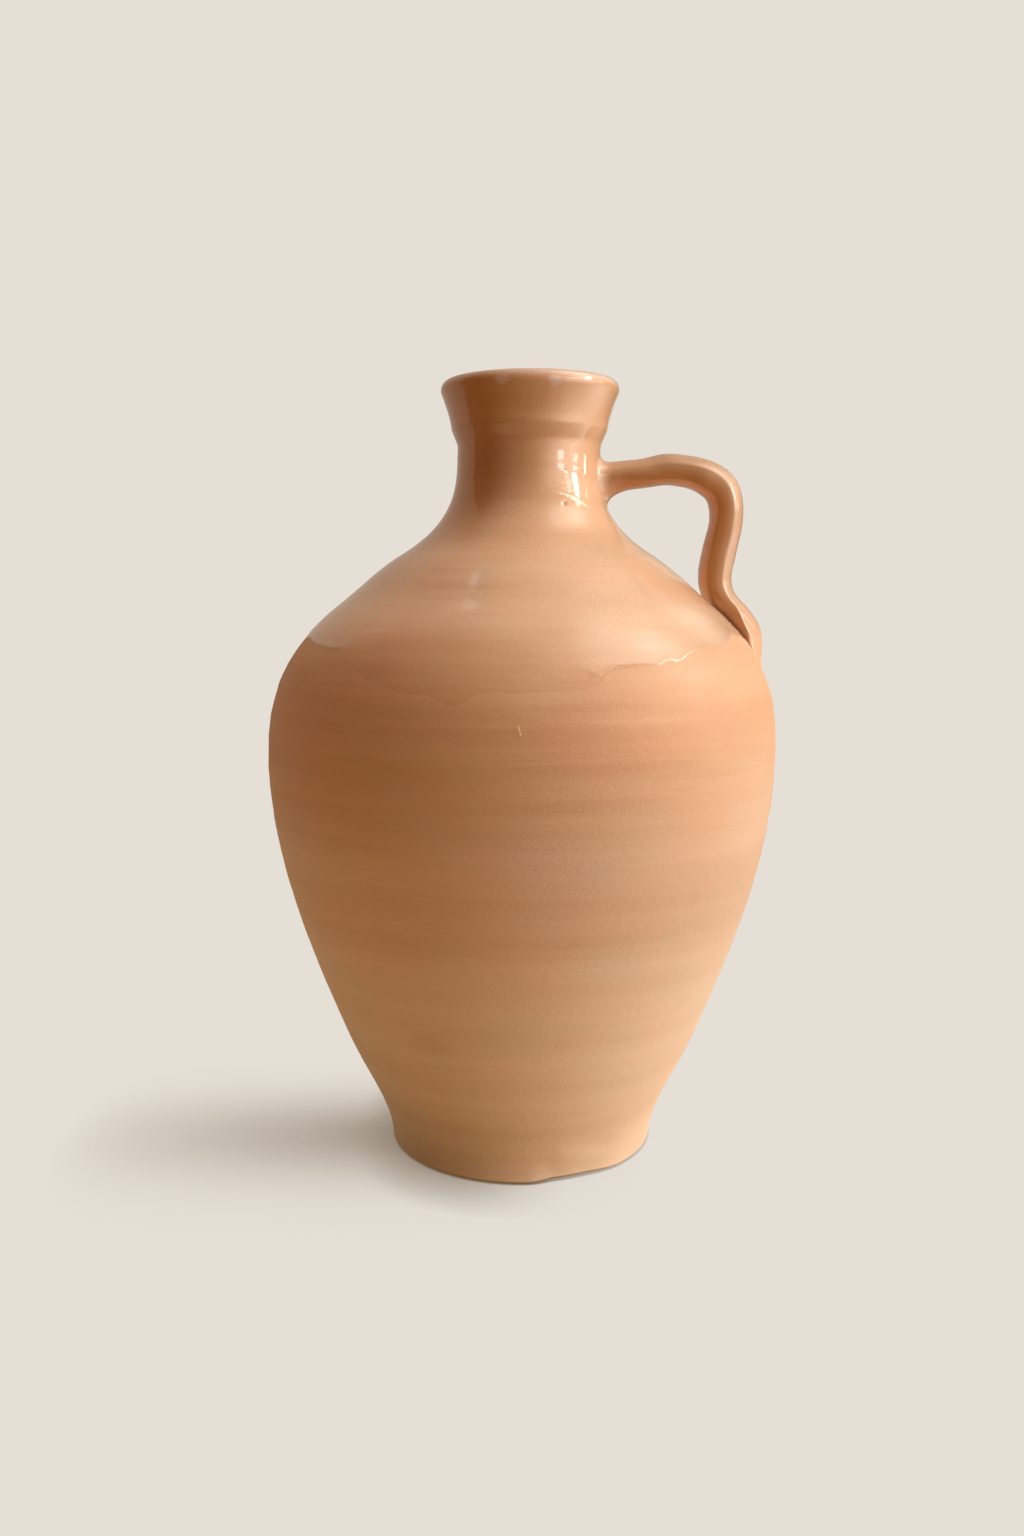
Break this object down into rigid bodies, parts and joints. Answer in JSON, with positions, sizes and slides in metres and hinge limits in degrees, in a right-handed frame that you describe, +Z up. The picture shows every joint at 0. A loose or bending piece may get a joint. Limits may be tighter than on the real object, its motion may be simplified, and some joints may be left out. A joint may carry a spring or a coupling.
{
  "type": "clay water jug",
  "caption": "Round-bellied clay water jug on a narrow flat foot, with a short waisted neck, a flared lip and one pulled handle from the neck to the shoulder, for carrying and pouring water.",
  "frame": {"origin": "on the jug's axis, on the surface that the jug stands on", "axes": "+Z up along the axis to the mouth, +X towards the handle"},
  "size_m": [0.264, 0.264, 0.4],
  "materials": {
    "bare_clay": "unglazed fired earthenware, matt, with throwing rings and fine grain",
    "glazed_clay": "clear honey-brown glaze over the same clay, glossy, running out to bare clay on the shoulder",
    "fired_slip": "fired slip in a luted seam, matt"
  },
  "bodies": {
    "root": {"base_slab": "bare_clay", "base_slip_ring": "fired_slip", "lower_body": "bare_clay", "belly_slip_ring": "fired_slip", "upper_body": "glazed_clay", "neck_slip_ring": "fired_slip", "neck": "glazed_clay", "collar_slip_ring": "fired_slip", "mouth_collar": "glazed_clay", "handle": "glazed_clay", "handle_root_wad": "glazed_clay", "handle_tail_wad": "bare_clay"}
  },
  "joints": []
}
